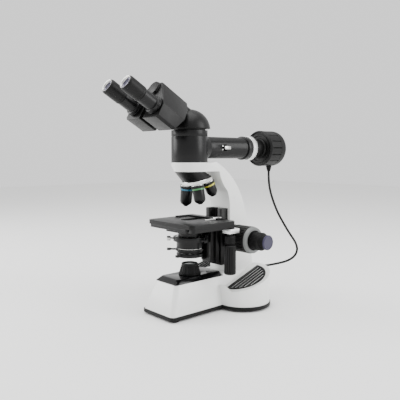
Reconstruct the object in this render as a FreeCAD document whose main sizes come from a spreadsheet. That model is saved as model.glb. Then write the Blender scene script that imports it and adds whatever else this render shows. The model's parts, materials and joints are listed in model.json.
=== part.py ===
"""Compound microscope with a transmitted lamp in its base and a reflected-light lamp at its back.

Lengths are in millimetres. +Z is up, -Y is towards the user and +X is the user's right. The origin is
on the table under the middle of the microscope. Places are given from the optical axis, which stands
at Y = optical_y, and place() adds that offset.
"""
import FreeCAD, Part
import math
import os

import Sketcher
from FreeCAD import Placement, Rotation, Vector

CELLS = {
    "optical_y": -42.8,        # optical axis, from the middle of the whole microscope
    "running": 0.05,           # radial clearance of a shaft in its bearing
    "gap": 0.3,              # gap between pieces that slide or swing past each other
    # base
    "foot_rad": 7, "foot_high": 3, "plate_top": 10, "plate_proud": 1.5,
    "base_half": 44, "base_top_half": 31, "base_front": -78, "base_top_front": -57, "base_back": 152,
    "base_top": 66, "panel_seat": 62, "base_round": 9, "base_wall": 3,
    "lobe_rad": 54, "lobe_mid_x": 45, "lobe_mid_y": 98, "lobe_low": 38, "lobe_low_y": 48, "lobe_slope": 19.5,
    "panel_half": 32, "panel_top_half": 26, "panel_front": -60, "panel_top_front": -49, "panel_back": 58,
    "panel_top": 70, "vent_rad": 47, "vent_thick": 1.6, "vent_slot": 3.2, "vent_pitch": 7.5,
    "collar_rad": 21, "collar_top_rad": 15.6, "collar_top": 91, "sleeve_rad": 13.4, "sleeve_top": 84,
    # arm and focus
    "arm_half": 28, "arm_front": 80, "arm_disc_low": 264, "arm_disc_top": 281,
    "arm_disc_rad": 29, "arm_disc_top_rad": 35.5, "arm_bore": 12, "boss_rad": 12, "boss_half": 38,
    "knob_y": 89, "knob_z": 134, "coarse_shaft": 5, "fine_shaft": 3, "pinion_rad": 6,
    "coarse_rad": 26, "coarse_in": 40, "coarse_out": 84, "fine_rad": 17, "fine_in": 87, "fine_step": 105,
    "fine_cap": 14, "fine_out": 119, "tension_rad": 25,
    "guide_half": 22, "guide_front": 62, "guide_low": 80, "guide_top": 191,
    "slide_half": 11, "slide_front": 58, "slide_back": 74, "slide_low": 92, "slide_top": 172,
    "rack_half": 5, "rack_back": 82.8,
    # stage
    "carrier_half": 20, "carrier_front": 50, "carrier_low": 84, "shelf_low": 152, "shelf_top": 160,
    "shelf_half": 34, "shelf_front": -34, "rail_in": 10.3, "rail_out": 14, "rail_front": 42,
    "lower_left": -50, "lower_right": 57, "lower_front": -56, "lower_back": 50, "lower_top": 166,
    "top_left": -55, "top_right": 73, "top_front": -58, "top_back": 50, "stage_top": 174,
    "stage_round": 9, "flange_in": 58, "light_rad": 24, "bracket_low": 152,
    "control_x": 72, "control_y": 36, "upper_knob": 9.5, "lower_knob": 11, "control_split": 132,
    "control_low": 76,
    "holder_low": 174.3, "holder_top": 177, "holder_back": 46, "holder_front": 30, "holder_half": 45,
    # condenser
    "ring_rad": 31, "ring_low": 134, "ring_top": 142, "condenser_rad": 26, "condenser_low": 113,
    "condenser_waist": 22, "condenser_top": 156.5, "tray_rad": 25, "tray_low": 104, "tray_top": 110,
    "tray_pin_x": -20, "tray_pin_y": 9, "screw_angle": 228,
    # nosepiece
    "nose_tilt": 13.5, "nose_circle": 20, "nose_seat": 237, "nose_rad": 30, "nose_thick": 9,
    "nose_park": 48, "thread_rad": 10, "thread_long": 5, "spindle_rad": 6,
    # reflected light
    "tower_rad": 34, "tower_top": 340, "tower_bore": 20, "tower_groove": 328, "lamp_z": 309,
    "tube_start": 36, "tube_rad": 21, "tube_bore": 17, "flange_start": 140, "flange_rad": 24,
    "flange_end": 152, "coupling_end": 167, "neck_rad": 19, "house_start": 192, "house_end": 249,
    "house_rad": 37.5, "house_wall": 4, "gland_y": 228, "gland_low": 260,
    # head
    "eye_tilt": 60, "head_z": 363, "dome_rad": 39, "neck_top": 343, "head_neck": 30,
    "hub_rad": 14, "hub_end": 92, "hub_cap": 96, "eye_x": 27.5, "eye_q": -38,
    "prism_start": 28.5, "prism_end": 92, "prism_out": 47, "prism_low": -60,
    "ring_end": 101, "ring_out": 16, "eyetube_rad": 13, "eyetube_end": 126.6, "sleeve_eye": 11.6,
    "eyepiece_rad": 13.9, "eyepiece_end": 161,
    # lead
    "lead_dia": 5, "socket_x": 14, "socket_z": 58,
}

# Route of the lamp lead, chosen by hand from the gland under the lamp house to the socket in the base.
LEAD_ROUTE = [
    (0, 228, 260), (0, 228, 240), (7, 226, 216), (15, 228, 193), (25, 231, 170), (36, 238, 147),
    (45, 246, 127), (53, 256, 109), (56, 262, 92), (52, 258, 76), (43, 244, 66), (33, 224, 62),
    (25, 203, 60), (14, 181, 58), (14, 158, 58),
]

UP = Rotation()
ALONG_X = Rotation(Vector(0, 1, 0), 90)
ALONG_Y = Rotation(Vector(1, 0, 0), -90)

document = FreeCAD.newDocument("microscope")
sheet = document.addObject("Spreadsheet::Sheet", "Dims")
for row, (alias, number) in enumerate(CELLS.items(), start=1):
    sheet.set(f"A{row}", alias)
    sheet.set(f"B{row}", str(number))
    sheet.setAlias(f"B{row}", alias)
document.recompute()


class Size:
    """A number with the sheet expression that gives it, so that sums stay bound to the sheet."""

    def __init__(self, value, text):
        self.value = value
        self.text = text

    def __add__(self, other):
        other = size(other)
        return Size(self.value + other.value, f"({self.text} + {other.text})")

    def __neg__(self):
        return Size(-self.value, f"(0 - {self.text})")

    def __sub__(self, other):
        other = size(other)
        return Size(self.value - other.value, f"({self.text} - {other.text})")

    def __rsub__(self, other):
        return size(other) - self

    def __mul__(self, other):
        other = size(other)
        return Size(self.value * other.value, f"({self.text} * {other.text})")

    __radd__ = __add__
    __rmul__ = __mul__


def size(number):
    if isinstance(number, Size):
        return number
    text = repr(float(number))
    return Size(float(number), f"({text})" if number < 0 else text)


def cosine(angle):
    return Size(math.cos(math.radians(angle.value)), f"cos({angle.text} * 1 deg)")


def sine(angle):
    return Size(math.sin(math.radians(angle.value)), f"sin({angle.text} * 1 deg)")


class Dimensions:
    """The sheet's cells as Size values."""


dim = Dimensions()
for alias in CELLS:
    setattr(dim, alias, Size(float(sheet.get(alias)), f"Dims.{alias}"))


# ---------------------------------------------------------------- building blocks

def bind(thing, name, amount):
    thing.setExpression(name, size(amount).text)


def place(thing, x=0, y=0, z=0, turn=UP):
    """Turn a piece and put it at x, y, z from the foot of the optical axis."""
    thing.Placement = Placement(Vector(), turn)
    for axis, amount in zip("xyz", (x, dim.optical_y + y, z)):
        bind(thing, f"Placement.Base.{axis}", amount)
    return thing


def turn_x(angle):
    return Rotation(Vector(1, 0, 0), angle.value)


def from_frame(origin, tilt, x, y, z):
    """A point of a frame that is tilted about X, in the main axes."""
    return (size(x) + origin[0],
            origin[1] + y * cosine(tilt) - z * sine(tilt),
            origin[2] + y * sine(tilt) + z * cosine(tilt))


def draw(sketch, points):
    """Draw a closed outline. A third number at a point makes the side that reaches it an arc of that
    radius, which bends left when positive and right when negative."""
    corners = [(size(point[0]), size(point[1])) for point in points]
    sides = []
    for index, point in enumerate(points):
        start, end = (Vector(x.value, y.value, 0) for x, y in (corners[index - 1], corners[index]))
        if len(point) == 2:
            sides.append((sketch.addGeometry(Part.LineSegment(start, end), False), 1, 2))
            continue
        radius = size(point[2])
        chord = end - start
        left = Vector(-chord.y, chord.x, 0).normalize()
        height = math.sqrt(max(radius.value ** 2 - chord.Length ** 2 / 4, 0))
        bends_left = radius.value > 0
        centre = (start + end) * 0.5 + left * (height if bends_left else -height)
        circle = Part.Circle(centre, Vector(0, 0, 1), abs(radius.value))
        first, last = (start, end) if bends_left else (end, start)
        angles = [math.atan2(p.y - centre.y, p.x - centre.x) for p in (first, last)]
        if angles[1] < angles[0]:
            angles[1] += 2 * math.pi
        geometry = sketch.addGeometry(Part.ArcOfCircle(circle, *angles), False)
        sides.append((geometry, 1, 2) if bends_left else (geometry, 2, 1))
        bound = radius if bends_left else -radius
        number = sketch.addConstraint(Sketcher.Constraint("Radius", geometry, bound.value))
        sketch.setExpression(f"Constraints[{number}]", bound.text)
    for index, (geometry, _, end) in enumerate(sides):
        following, start, _ = sides[(index + 1) % len(sides)]
        sketch.addConstraint(Sketcher.Constraint("Coincident", geometry, end, following, start))
        pin(sketch, geometry, end, corners[index])


def pin(sketch, geometry, position, point):
    for kind, amount in zip(("DistanceX", "DistanceY"), point):
        number = sketch.addConstraint(Sketcher.Constraint(kind, -1, 1, geometry, position, amount.value))
        sketch.setExpression(f"Constraints[{number}]", amount.text)


def draw_circle(sketch, x, y, radius):
    x, y, radius = size(x), size(y), size(radius)
    circle = Part.Circle(Vector(x.value, y.value, 0), Vector(0, 0, 1), radius.value)
    geometry = sketch.addGeometry(circle, False)
    pin(sketch, geometry, 3, (x, y))
    number = sketch.addConstraint(Sketcher.Constraint("Radius", geometry, radius.value))
    sketch.setExpression(f"Constraints[{number}]", radius.text)


def sketch_on(body, plane, offset=0):
    sketch = body.newObject("Sketcher::SketchObject", "Outline")
    support = [part for part in body.Origin.OriginFeatures if part.Role == plane][0]
    sketch.AttachmentSupport = [(support, "")]
    sketch.MapMode = "FlatFace"
    bind(sketch, "AttachmentOffset.Base.z", offset)
    return sketch


def new_body(label):
    body = document.addObject("PartDesign::Body", label)
    body.Label = label
    return body


def turned(label, profile, **where):
    """A solid of revolution about its own Z. The profile's points are radius and height."""
    body = new_body(label)
    sketch = sketch_on(body, "XZ_Plane")
    draw(sketch, profile)
    revolution = body.newObject("PartDesign::Revolution", "Turning")
    revolution.Profile = sketch
    revolution.ReferenceAxis = (sketch, ["V_Axis"])
    revolution.Angle = 360
    return place(body, **where)


def tube(label, outer, inner, low, high, **where):
    return turned(label, [(inner, low), (outer, low), (outer, high), (inner, high)], **where)


def sawn(label, outline, low, high, plane="XY_Plane", holes=(), **where):
    """A plate with the outline, from low to high along the plane's normal."""
    body = new_body(label)
    sketch = sketch_on(body, plane, low)
    draw(sketch, outline)
    for hole in holes:
        draw_circle(sketch, *hole)
    pad = body.newObject("PartDesign::Pad", "Thickness")
    pad.Profile = sketch
    bind(pad, "Length", size(high) - low)
    return place(body, **where)


def tapered(label, low, low_outline, high, high_outline, **where):
    """A solid that blends one outline at the low height into another at the high one."""
    body = new_body(label)
    sections = []
    for height, outline in ((low, low_outline), (high, high_outline)):
        sections.append(sketch_on(body, "XY_Plane", height))
        draw(sections[-1], outline)
    loft = body.newObject("PartDesign::AdditiveLoft", "Taper")
    loft.Profile = sections[0]
    loft.Sections = [sections[1]]
    loft.Ruled = True
    return place(body, **where)


def block(label, x_range, y_range, z_range):
    box = document.addObject("Part::Box", label)
    box.Label = label
    for name, (low, high) in zip(("Length", "Width", "Height"), (x_range, y_range, z_range)):
        bind(box, name, size(high) - low)
    return place(box, x_range[0], y_range[0], z_range[0])


def rod(label, radius, long, **where):
    cylinder = document.addObject("Part::Cylinder", label)
    cylinder.Label = label
    bind(cylinder, "Radius", radius)
    bind(cylinder, "Height", long)
    return place(cylinder, **where)


def fused(label, *pieces):
    result = document.addObject("Part::MultiFuse", label)
    result.Label = label
    result.Shapes = list(pieces)
    return result


def cut(label, piece, *tools):
    result = document.addObject("Part::Cut", label)
    result.Label = label
    result.Base = piece
    result.Tool = tools[0] if len(tools) == 1 else fused(f"{label}_tools", *tools)
    return result


def common(label, piece, other):
    result = document.addObject("Part::Common", label)
    result.Label = label
    result.Base = piece
    result.Tool = other
    return result


def group(label, *pieces):
    """Separate solids of one kind, kept in one node."""
    result = document.addObject("Part::Compound", label)
    result.Label = label
    result.Links = list(pieces)
    return result


def rectangle(left, right, front, back, corner=None):
    """Anticlockwise outline of a rectangle, with its corners rounded when corner is given."""
    left, right, front, back = (size(side) for side in (left, right, front, back))
    if corner is None:
        return [(left, front), (right, front), (right, back), (left, back)]
    return [(left + corner, front, corner), (right - corner, front),
            (right, front + corner, corner), (right, back - corner),
            (right - corner, back, corner), (left + corner, back),
            (left, back - corner, corner), (left, front + corner)]


# ---------------------------------------------------------------- base

def base_form(label, inset):
    """The base's outer form, or its cavity when inset is the wall's thickness."""
    block_form = tapered(
        f"{label}_block", dim.plate_top,
        rectangle(inset - dim.base_half, dim.base_half - inset, dim.base_front + inset,
                  dim.base_back - inset, dim.base_round),
        dim.base_top - inset,
        rectangle(inset - dim.base_top_half, dim.base_top_half - inset, dim.base_top_front + inset,
                  dim.base_back - inset, dim.base_round))
    lobes = [rod(f"{label}_lobe", dim.lobe_rad - inset, dim.base_top, x=side * dim.lobe_mid_x,
                 y=dim.lobe_mid_y, z=dim.plate_top) for side in (-1, 1)]
    reach = 150
    sloped_top = block(f"{label}_slope", (-reach, reach), (0, 2 * reach), (0, reach))
    place(sloped_top, -reach, dim.lobe_low_y, dim.lobe_low - inset, turn_x(dim.lobe_slope))
    return fused(label, block_form, cut(f"{label}_lobes", fused(f"{label}_discs", *lobes), sloped_top))


def base_outline(proud):
    """Outline of the whole base seen from above: a straight block with a round lobe each side."""
    half = dim.base_half + proud
    lobe = dim.lobe_rad + proud
    front, back = dim.base_front - proud, dim.base_back + proud
    meet = dim.lobe_mid_y - dim.lobe_rad - proud
    corner = dim.base_round
    return [(corner - half, front, corner), (half - corner, front), (half, front + corner, corner),
            (half, meet), (dim.lobe_mid_x + lobe, dim.lobe_mid_y, lobe), (dim.lobe_mid_x, back, lobe),
            (-dim.lobe_mid_x, back), (-dim.lobe_mid_x - lobe, dim.lobe_mid_y, lobe),
            (-half, meet, lobe), (-half, front + corner)]


def make_base():
    base = base_form("base_outside", 0)
    cavity = base_form("base_cavity", dim.base_wall)
    panel_seat = block("panel_seat", (-60, 60), (-90, dim.panel_back), (dim.panel_seat, 90))
    sleeve_hole = rod("sleeve_hole", dim.sleeve_rad + dim.gap, 60, z=40)
    inlet_hole = block("inlet_hole", (-39, -11), (dim.base_back - 12, dim.base_back + 9), (24, 46))
    switch_hole = block("switch_hole", (7.7, 22.3), (dim.base_back - 12, dim.base_back + 9), (24.4, 43.7))
    socket_hole = rod("socket_hole", 5, 20, x=dim.socket_x, y=dim.base_back - 10, z=dim.socket_z,
                      turn=ALONG_Y)
    dimmer_hole = rod("dimmer_hole", dim.fine_shaft + dim.running, 30, x=-60, y=-20, z=34, turn=ALONG_X)
    arm_seat = block("arm_seat", (-dim.arm_half, dim.arm_half), (dim.arm_front, 150), (dim.base_top, 90))
    cut("base_housing", base, cavity, panel_seat, arm_seat, sleeve_hole, inlet_hole, switch_hole,
        socket_hole, dimmer_hole)
    sawn("base_plate", base_outline(dim.plate_proud), dim.foot_high, dim.plate_top)
    feet = [rod("foot", dim.foot_rad, dim.foot_high, x=x, y=y)
            for x, y in ((-36, -66), (36, -66), (-78, 98), (78, 98), (0, 140))]
    group("rubber_feet", *feet)
    panel = tapered("panel_blank", dim.panel_seat,
                    rectangle(-dim.panel_half, dim.panel_half, dim.panel_front, dim.panel_back, 7),
                    dim.panel_top,
                    rectangle(-dim.panel_top_half, dim.panel_top_half, dim.panel_top_front,
                              dim.panel_back, 7))
    cut("top_panel", panel, rod("panel_hole", dim.sleeve_rad + dim.gap, 20, z=dim.panel_seat - 5))
    group("vent_grilles", make_vent("vent_right", 1), make_vent("vent_left", -1))


def make_vent(label, side):
    """A slotted plate on the lobe's sloped top: a half disc whose straight edge faces the arm."""
    slope = cosine(dim.lobe_slope)
    middle = (dim.lobe_mid_y - dim.lobe_low_y) * Size(1 / slope.value, f"(1 / {slope.text})")
    reach = dim.vent_rad
    edge = 0
    outline = [(side * edge, middle - reach), (side * reach, middle, side * reach),
               (side * edge, middle + reach, side * reach)]
    plate = sawn(f"{label}_plate", outline, 0, dim.vent_thick, x=side * dim.lobe_mid_x,
                 y=dim.lobe_low_y, z=dim.lobe_low, turn=turn_x(dim.lobe_slope))
    slots = []
    for number in range(1, 6):
        across = dim.vent_pitch * number
        half_long = math.sqrt(reach.value ** 2 - (across.value + 3) ** 2) - 4
        ends = sorted((side * across.value, side * (across + dim.vent_slot).value))
        slots.append(sawn(f"{label}_slot", rectangle(ends[0], ends[1], middle - half_long,
                                                     middle + half_long),
                          0, 4, x=side * dim.lobe_mid_x, y=dim.lobe_low_y, z=dim.lobe_low,
                          turn=turn_x(dim.lobe_slope)))
    return cut(label, plate, *slots)


def make_base_light():
    """The lamp in the base, its sleeve and the ribbed ring with its lens that turns on the sleeve."""
    turned("field_ring", [(dim.sleeve_rad + dim.running, dim.panel_top + dim.gap),
                          (dim.collar_rad, dim.panel_top + dim.gap), (dim.collar_rad, 75),
                          (dim.collar_top_rad, dim.collar_top - 1), (dim.collar_top_rad - 1, dim.collar_top),
                          (dim.sleeve_rad + dim.running, dim.collar_top)])
    turned("field_lens", [(0, dim.sleeve_top), (dim.sleeve_rad - dim.gap, dim.sleeve_top),
                          (dim.sleeve_rad - dim.gap, dim.sleeve_top + 4), (0, dim.sleeve_top + 5.5)])
    turned("base_lamp", [(0, dim.plate_top), (dim.sleeve_rad + 8, dim.plate_top), (dim.sleeve_rad + 8, 22),
                         (dim.sleeve_rad, 22), (dim.sleeve_rad, dim.sleeve_top),
                         (dim.sleeve_rad - 2, dim.sleeve_top), (dim.sleeve_rad - 2, 40), (4, 40), (4, 34),
                         (0, 34)])


def make_base_controls():
    inlet = block("inlet_block", (-39, -11), (dim.base_back - 11, dim.base_back + 1), (24, 46))
    recess = block("inlet_recess", (-36, -14), (dim.base_back - 8, dim.base_back + 9), (27, 43))
    pins = [block("inlet_pin", (x - 1, x + 1), (dim.base_back - 9, dim.base_back - 1), (32, 38))
            for x in (-30, -25, -20)]
    fused("power_inlet", cut("inlet_shell", inlet, recess), *pins)
    rocker = sawn("switch_rocker", [(dim.base_back - 6, 25.3), (dim.base_back + 1, 25.3),
                                    (dim.base_back + 0.5, 34), (dim.base_back + 3, 42.7),
                                    (dim.base_back - 6, 42.7)], 8.3, 21.7, plane="YZ_Plane")
    pivot = rod("switch_pivot", 1, 14.2, x=7.9, y=dim.base_back - 4.5, z=34, turn=ALONG_X)
    fused("power_switch", rocker, pivot)
    turned("brightness_knob", [(0, -53), (9, -53), (10, -52), (10, -43), (dim.fine_shaft, -43),
                               (dim.fine_shaft, -30), (0, -30)], x=0, y=-20, z=34, turn=ALONG_X)
    turned("lead_socket", [(0, -6), (5, -6), (5, 0), (7, 0), (7, 2), (4, 6), (0, 6)],
           x=dim.socket_x, y=dim.base_back, z=dim.socket_z, turn=ALONG_Y)


# ---------------------------------------------------------------- arm and focus

def make_arm():
    front = dim.arm_front
    side = [(front, dim.base_top), (150, dim.base_top), (146, 80), (136, 130), (126, 175), (43, 282, 150),
            (35, 281), (0, 281), (0, 264), (51, 264), (73, 226, 75), (front, 192, -90)]
    blank = sawn("arm_blank", side, -dim.arm_half, dim.arm_half, plane="YZ_Plane")
    disc = turned("arm_disc", [(0, dim.arm_disc_low), (dim.arm_disc_rad, dim.arm_disc_low),
                               (dim.arm_disc_top_rad - 1, dim.arm_disc_top - 4),
                               (dim.arm_disc_top_rad, dim.arm_disc_top), (0, dim.arm_disc_top)])
    bosses = [rod("arm_boss", dim.boss_rad, dim.boss_half - dim.arm_half + 1, x=x, y=dim.knob_y,
                  z=dim.knob_z, turn=ALONG_X) for x in (-dim.boss_half, dim.arm_half - 1)]
    hollow = sawn("arm_hollow", [(102, 60), (139, 60), (134, 82), (124, 130), (112, 180), (94, 215),
                                 (88, 190), (102, 160)], -22, 22, plane="YZ_Plane")
    bearing = rod("arm_bearing", dim.coarse_shaft + dim.running, 100, x=-50, y=dim.knob_y, z=dim.knob_z,
                  turn=ALONG_X)
    rack_channel = block("rack_channel", (-8, 8), (front - 1, front + 4), (dim.guide_low + 2, dim.guide_top))
    pinion_pocket = block("pinion_pocket", (-9, 9), (front - 1, 98), (dim.knob_z - 9, dim.knob_z + 9))
    bore = rod("arm_light_bore", dim.arm_bore, 60, z=240)
    cut("arm", fused("arm_body", blank, disc, *bosses), hollow, bearing, rack_channel, pinion_pocket, bore)


def make_focus():
    coarse = [(dim.coarse_shaft, dim.coarse_in), (dim.coarse_rad - 2, dim.coarse_in),
              (dim.coarse_rad, dim.coarse_in + 2), (dim.coarse_rad, dim.coarse_out - 6),
              (dim.coarse_rad - 2, dim.coarse_out), (dim.coarse_shaft, dim.coarse_out)]
    fine = [(dim.fine_shaft, dim.fine_in), (dim.fine_rad, dim.fine_in), (dim.fine_rad, dim.fine_step - 1),
            (dim.fine_cap, dim.fine_step), (dim.fine_cap, dim.fine_out - 1),
            (dim.fine_cap - 1, dim.fine_out), (0, dim.fine_out), (0, dim.fine_step),
            (dim.fine_shaft, dim.fine_step)]
    axle = {"x": 0, "y": dim.knob_y, "z": dim.knob_z}
    left = Rotation(Vector(0, 1, 0), -90)
    for name, turn in (("right", ALONG_X), ("left", left)):
        turned(f"coarse_knob_{name}", coarse, turn=turn, **axle)
        turned(f"fine_knob_{name}", fine, turn=turn, **axle)
    long = dim.coarse_in + 20
    tooth = 7
    turned("coarse_shaft", [(dim.fine_shaft + dim.running, -long), (dim.coarse_shaft, -long),
                            (dim.coarse_shaft, -tooth), (dim.pinion_rad, -tooth),
                            (dim.pinion_rad, tooth), (dim.coarse_shaft, tooth), (dim.coarse_shaft, long),
                            (dim.fine_shaft + dim.running, long)], turn=ALONG_X, **axle)
    turned("fine_shaft", [(0, -dim.fine_step), (dim.fine_shaft, -dim.fine_step),
                          (dim.fine_shaft, dim.fine_step), (0, dim.fine_step)], turn=ALONG_X, **axle)
    turned("tension_ring", [(dim.boss_rad + dim.running, dim.arm_half + 0.5),
                            (dim.tension_rad, dim.arm_half + 0.5), (dim.tension_rad, dim.boss_half - 2),
                            (dim.tension_rad - 2, dim.boss_half), (dim.boss_rad + dim.running,
                                                                   dim.boss_half)],
           turn=ALONG_X, **axle)
    guide = block("guide_blank", (-dim.guide_half, dim.guide_half), (dim.guide_front, dim.arm_front),
                  (dim.guide_low, dim.guide_top))
    width = dim.slide_half + dim.gap
    channel = block("guide_channel", (-width, width), (dim.guide_front - 1, dim.slide_back + dim.gap),
                    (dim.guide_low + 3, dim.guide_top + 1))
    rack_width = dim.rack_half + dim.gap
    slot = block("guide_slot", (-rack_width, rack_width), (dim.slide_back, dim.arm_front + 1),
                 (dim.guide_low + 3, dim.guide_top + 1))
    cut("focus_guide", guide, channel, slot)
    slide = block("slide_blank", (-dim.slide_half, dim.slide_half), (dim.slide_front, dim.slide_back),
                  (dim.slide_low, dim.slide_top))
    rack = block("slide_rack", (-dim.rack_half, dim.rack_half), (dim.slide_back, dim.rack_back),
                 (dim.slide_low, dim.slide_top))
    fused("focus_slide", slide, rack)


# ---------------------------------------------------------------- stage

def make_stage():
    half = dim.carrier_half
    upright = block("carrier_upright", (-half, half), (dim.carrier_front, dim.slide_front),
                    (dim.carrier_low, dim.shelf_low))
    shelf = sawn("carrier_shelf", rectangle(-dim.shelf_half, dim.shelf_half, dim.shelf_front,
                                            dim.slide_front, 8),
                 dim.shelf_low, dim.shelf_top, holes=[(0, 0, dim.light_rad)])
    rails = [block("carrier_rail", sides, (dim.rail_front, dim.carrier_front), (90, dim.shelf_low))
             for sides in ((-dim.rail_out, -dim.rail_in), (dim.rail_in, dim.rail_out))]
    knob_bore = rod("carrier_bore", dim.fine_shaft + dim.running, 20, x=-30, y=46, z=118, turn=ALONG_X)
    cut("stage_carrier", fused("carrier_solid", upright, shelf, *rails), knob_bore)
    sawn("stage_lower_plate", rectangle(dim.lower_left, dim.lower_right, dim.lower_front, dim.lower_back, 4),
         dim.shelf_top, dim.lower_top, holes=[(0, 0, dim.light_rad)])
    round_ = dim.stage_round
    top = sawn("stage_top_blank", rectangle(dim.top_left, dim.top_right, dim.top_front, dim.top_back, round_),
               dim.lower_top + dim.gap, dim.stage_top)
    flange = sawn("stage_flange", rectangle(dim.flange_in, dim.top_right, dim.top_front + 3, dim.top_back, 6),
                  dim.shelf_top, dim.stage_top - 1)
    light = sawn("stage_light_slot", rectangle(-11, 11, -18, 34, 10.5), dim.lower_top - 1,
                 dim.stage_top + 1)
    cut("stage_top_plate", fused("stage_top_solid", top, flange), light)
    x, y = dim.control_x, dim.control_y
    bracket = sawn("bracket_blank", rectangle(x - 13, x + 8, y - 9, y + 18, 3), dim.bracket_low,
                   dim.shelf_top, holes=[(x, y, dim.coarse_shaft + dim.running)])
    bracket.Label = "control_bracket"
    turned("stage_y_knob", [(2.55, dim.control_split), (dim.upper_knob, dim.control_split),
                            (dim.upper_knob, 147), (dim.coarse_shaft, 148),
                            (dim.coarse_shaft, dim.shelf_top - dim.gap),
                            (2.55, dim.shelf_top - dim.gap)], x=x, y=y)
    turned("stage_x_knob", [(0, dim.control_low), (dim.lower_knob - 1, dim.control_low),
                            (dim.lower_knob, dim.control_low + 1),
                            (dim.lower_knob, dim.control_split - 1.5),
                            (2.5, dim.control_split - 1.5), (2.5, dim.shelf_top - dim.gap),
                            (0, dim.shelf_top - dim.gap)], x=x, y=y)
    make_slide_holder()


def make_slide_holder():
    low, high = dim.holder_low, dim.holder_top
    half, front, back = dim.holder_half, dim.holder_front, dim.holder_back
    holder = sawn("holder_blank", [(-half, 2), (7 - half, 4), (7 - half, front), (half, front),
                                   (half, back), (-half, back)], low, high,
                  holes=[(half - 5, 38, 2.55)])
    holder.Label = "slide_holder"
    finger = sawn("finger_arm", [(half - 8, front - 1.5), (half - 6, 4), (half - 4.5, 4),
                                 (half - 3, front - 1.5)], low, high)
    hub = rod("finger_hub", 5, 1.6, x=half - 5, y=38, z=high + dim.gap)
    pivot = rod("finger_pivot", 2.5, 3, x=half - 5, y=38, z=low)
    link = block("finger_link", (half - 8, half - 3), (front - 2, 36), (high + dim.gap, high + 1.9))
    riser = block("finger_riser", (half - 8, half - 3), (front - 4, front - 1.5), (low, high + 1.9))
    fused("slide_finger", finger, hub, pivot, link, riser)


# ---------------------------------------------------------------- condenser

def make_condenser():
    rad = dim.condenser_rad
    ring = tube("ring_blank", dim.ring_rad, rad, dim.ring_low, dim.ring_top)
    tongue = block("ring_tongue", (-10, 10), (28, dim.carrier_front - dim.gap),
                   (dim.ring_low - 8, dim.ring_top))
    bore = rod("ring_bore", rad, 40, z=dim.ring_low - 12)
    screw_turn = Rotation(Vector(0, 0, 1), dim.screw_angle.value).multiply(ALONG_X)
    screw_hole = rod("screw_hole", 2.05, 60, z=(dim.ring_low + dim.ring_top) * 0.5, turn=screw_turn)
    cut("condenser_holder", fused("ring_solid", ring, tongue), bore, screw_hole)
    barrel = turned("condenser_barrel", [(8, dim.condenser_low), (rad - 1, dim.condenser_low), (rad - 1, 115),
                              (24, 115.5), (24, 119.5), (rad - 1, 120), (rad - 1, dim.ring_low),
                              (rad - 0.3, dim.ring_low), (rad - 0.3, dim.ring_top),
                              (dim.condenser_waist, dim.ring_top + 1),
                              (dim.condenser_waist, dim.condenser_top - 3),
                              (14, dim.condenser_top), (10, dim.condenser_top), (10, 140), (8, 138)])
    turned("condenser_lens", [(0, dim.condenser_top - 8), (10, dim.condenser_top - 8),
                              (10, dim.condenser_top - 1), (0, dim.condenser_top)])
    turned("centering_screw", [(0, 26), (2, 26), (2, 36), (4.5, 36), (4.5, 43), (0, 43)],
           z=(dim.ring_low + dim.ring_top) * 0.5, turn=screw_turn)
    turned("condenser_focus_knob", [(0, -36), (11, -36), (12, -35), (12, -25), (dim.fine_shaft, -25),
                                    (dim.fine_shaft, -10.8), (0, -10.8)], x=0, y=46, z=118, turn=ALONG_X)
    lever_ring = tube("lever_ring", 27, 24.05, 116, 119)
    arm_turn = Rotation(Vector(0, 0, 1), dim.screw_angle.value)
    lever_arm = sawn("lever_arm", rectangle(25.5, 38, -2, 2), 116, 119, turn=arm_turn)
    lever_tip = sawn("lever_tip", rectangle(36, 43, -4, 4, 1.5), 115.5, 119.5, turn=arm_turn)
    fused("iris_lever", lever_ring, lever_arm, lever_tip)
    x, y = dim.tray_pin_x, dim.tray_pin_y
    tray = tube("tray_ring", dim.tray_rad, 15, dim.tray_low, dim.tray_top)
    handle = sawn("tray_handle", rectangle(-4, 4, -33, -23, 1.5), dim.tray_low + 1, dim.tray_top - 1)
    cut("filter_holder", fused("tray_solid", tray, handle),
        rod("tray_bore", 2.05, 20, x=x, y=y, z=dim.tray_low - 5))
    tray_pin = rod("tray_pin", 2, dim.condenser_low - dim.tray_low, x=x, y=y, z=dim.tray_low)
    fused("condenser_body", barrel, tray_pin)


# ---------------------------------------------------------------- nosepiece and objectives

def nose_centre():
    tilt = dim.nose_tilt
    return (size(0), dim.nose_circle * cosine(tilt), dim.nose_seat + dim.nose_circle * sine(tilt))


def objective_place(angle):
    """Where an objective's shoulder sits on the turret, and how the objective is turned."""
    tilt = dim.nose_tilt
    across = dim.nose_circle.value * math.sin(math.radians(angle))
    along = -dim.nose_circle.value * math.cos(math.radians(angle))
    x, y, z = from_frame(nose_centre(), tilt, across, size(along), size(0))
    turn = turn_x(tilt).multiply(Rotation(Vector(0, 0, 1), angle)).multiply(turn_x(-tilt))
    return {"x": x, "y": y, "z": z, "turn": turn}


OBJECTIVES = (
    # name, outline of radius and depth below the shoulder
    ("objective_20x", [(12, 0), (12, 7), (11, 8), (11, 27), (9.5, 31), (6, 35), (3, 36)]),
    ("objective_40x", [(12, 0), (12, 8), (11.5, 9), (11.5, 29), (10, 33), (6, 37), (3.5, 41)]),
    ("objective_5x", [(11.5, 0), (11.5, 6), (10.5, 7), (10.5, 22), (9, 26), (8, 34)]),
    ("objective_10x", [(12, 0), (12, 7), (10.5, 8), (10.5, 22), (9, 26), (7, 29), (5, 30)]),
)


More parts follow.
